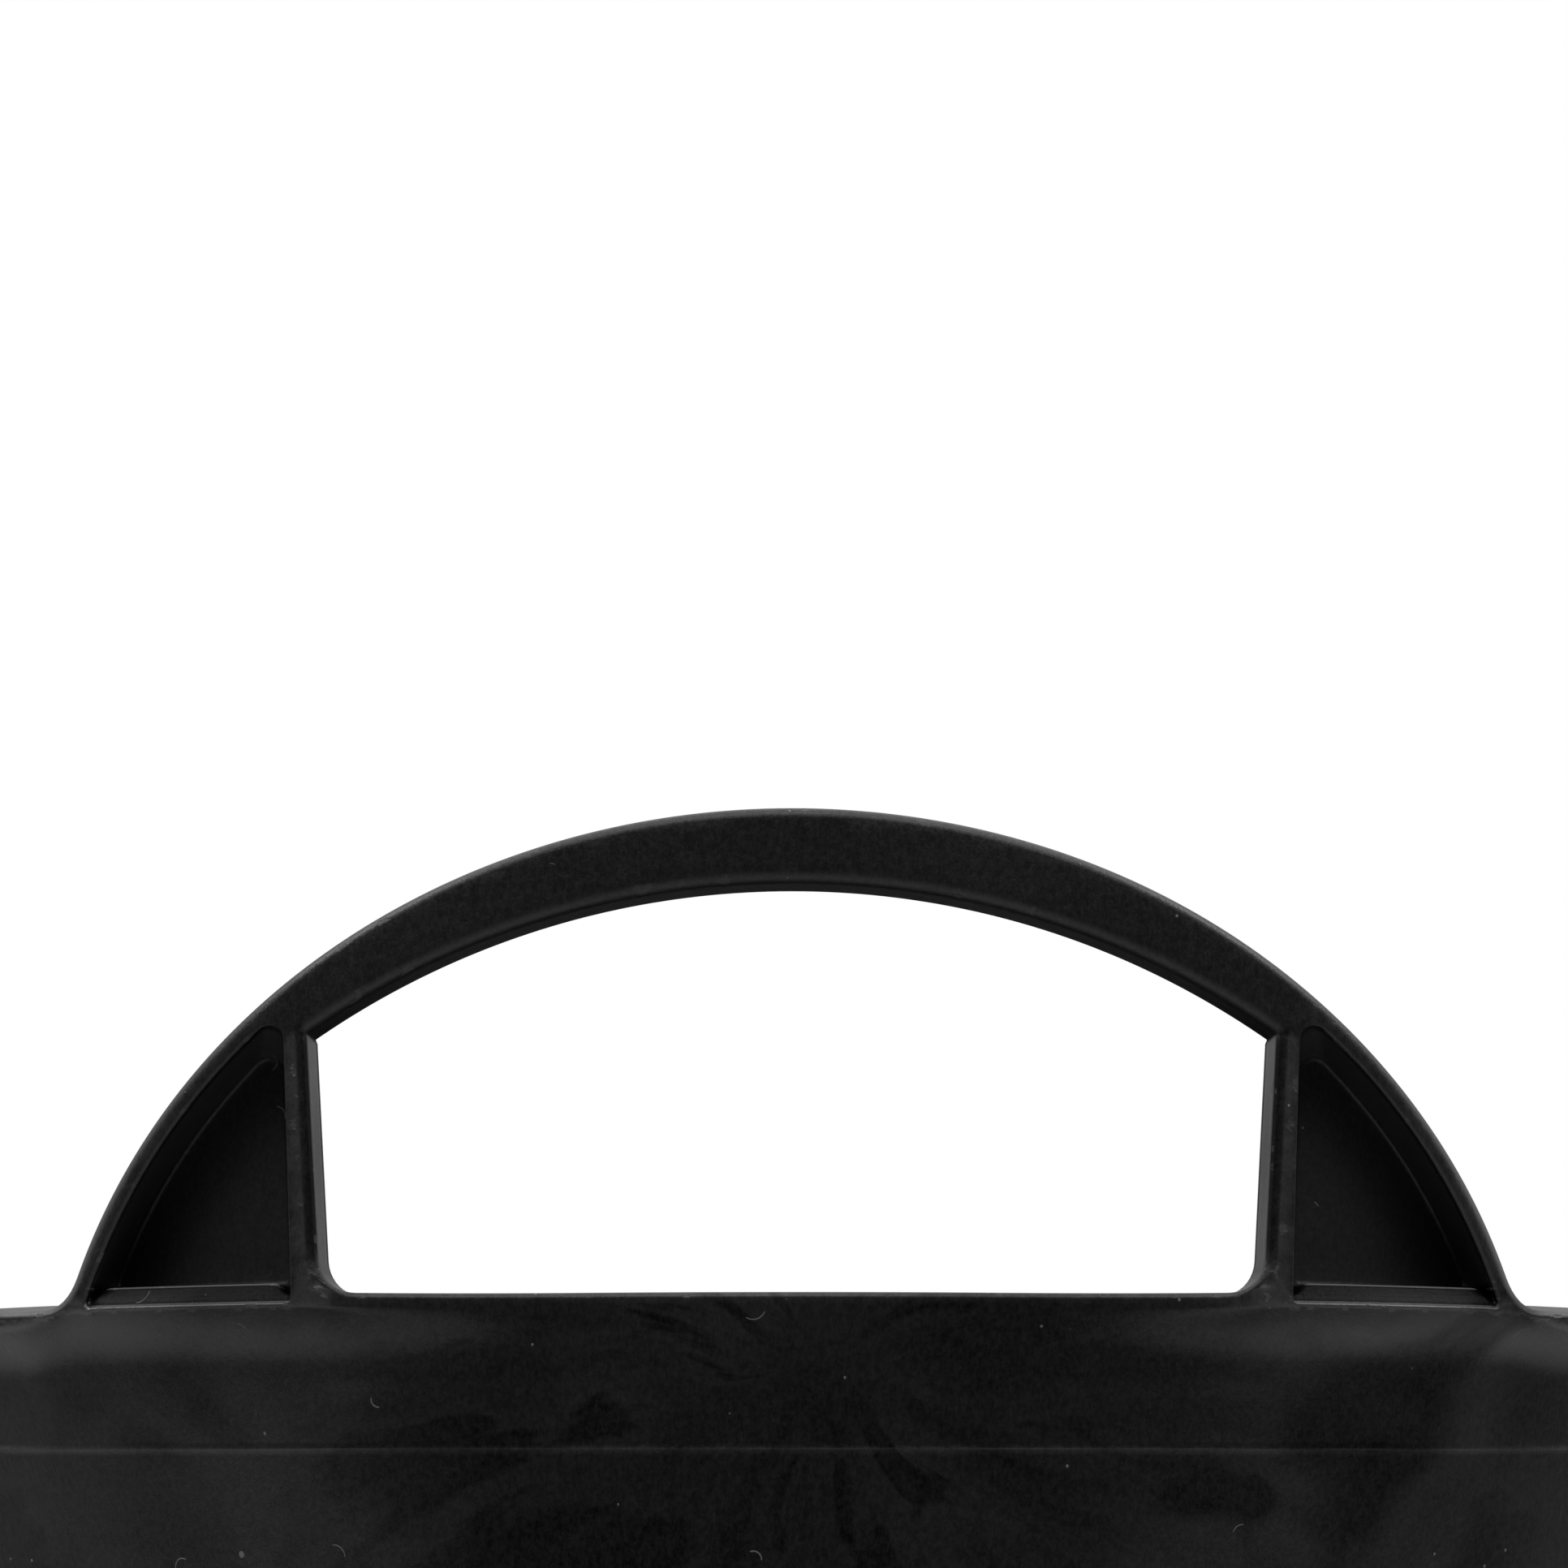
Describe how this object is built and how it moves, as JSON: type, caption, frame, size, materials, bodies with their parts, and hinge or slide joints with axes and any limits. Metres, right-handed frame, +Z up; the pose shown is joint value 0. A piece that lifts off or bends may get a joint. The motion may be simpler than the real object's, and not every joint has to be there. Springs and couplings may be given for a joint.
{
  "type": "mortar mixing tub",
  "caption": "Round tapered mixing tub of soft black plastic with a rim lip, a floor ring to stand on and a tall arched hand grip on each side.",
  "frame": {"origin": "centre of the foot, on the ground", "axes": "+Z up, +X to the right of someone facing the front grip, which is at -Y"},
  "size_m": [0.45, 0.45, 0.4107],
  "materials": {
    "tub_plastic": "satin black, with faint flow marks and scuffs",
    "grip_plastic": "satin black, with faint flow marks and scuffs"
  },
  "bodies": {
    "tub": {"tub_shell": "tub_plastic"},
    "front_handle": {"front_handle": "grip_plastic"},
    "rear_handle": {"rear_handle": "grip_plastic"}
  },
  "joints": [
    {"name": "front_handle_flex", "type": "hinge", "parent": "tub", "child": "front_handle", "pos_m": [0, -0.19, 0.336], "axis": [-1, 0, 0], "range_deg": [0, 25], "stiffness_Nm_per_rad": 0.5},
    {"name": "rear_handle_flex", "type": "hinge", "parent": "tub", "child": "rear_handle", "pos_m": [0, 0.19, 0.336], "axis": [1, 0, 0], "range_deg": [0, 25], "stiffness_Nm_per_rad": 0.5}
  ]
}
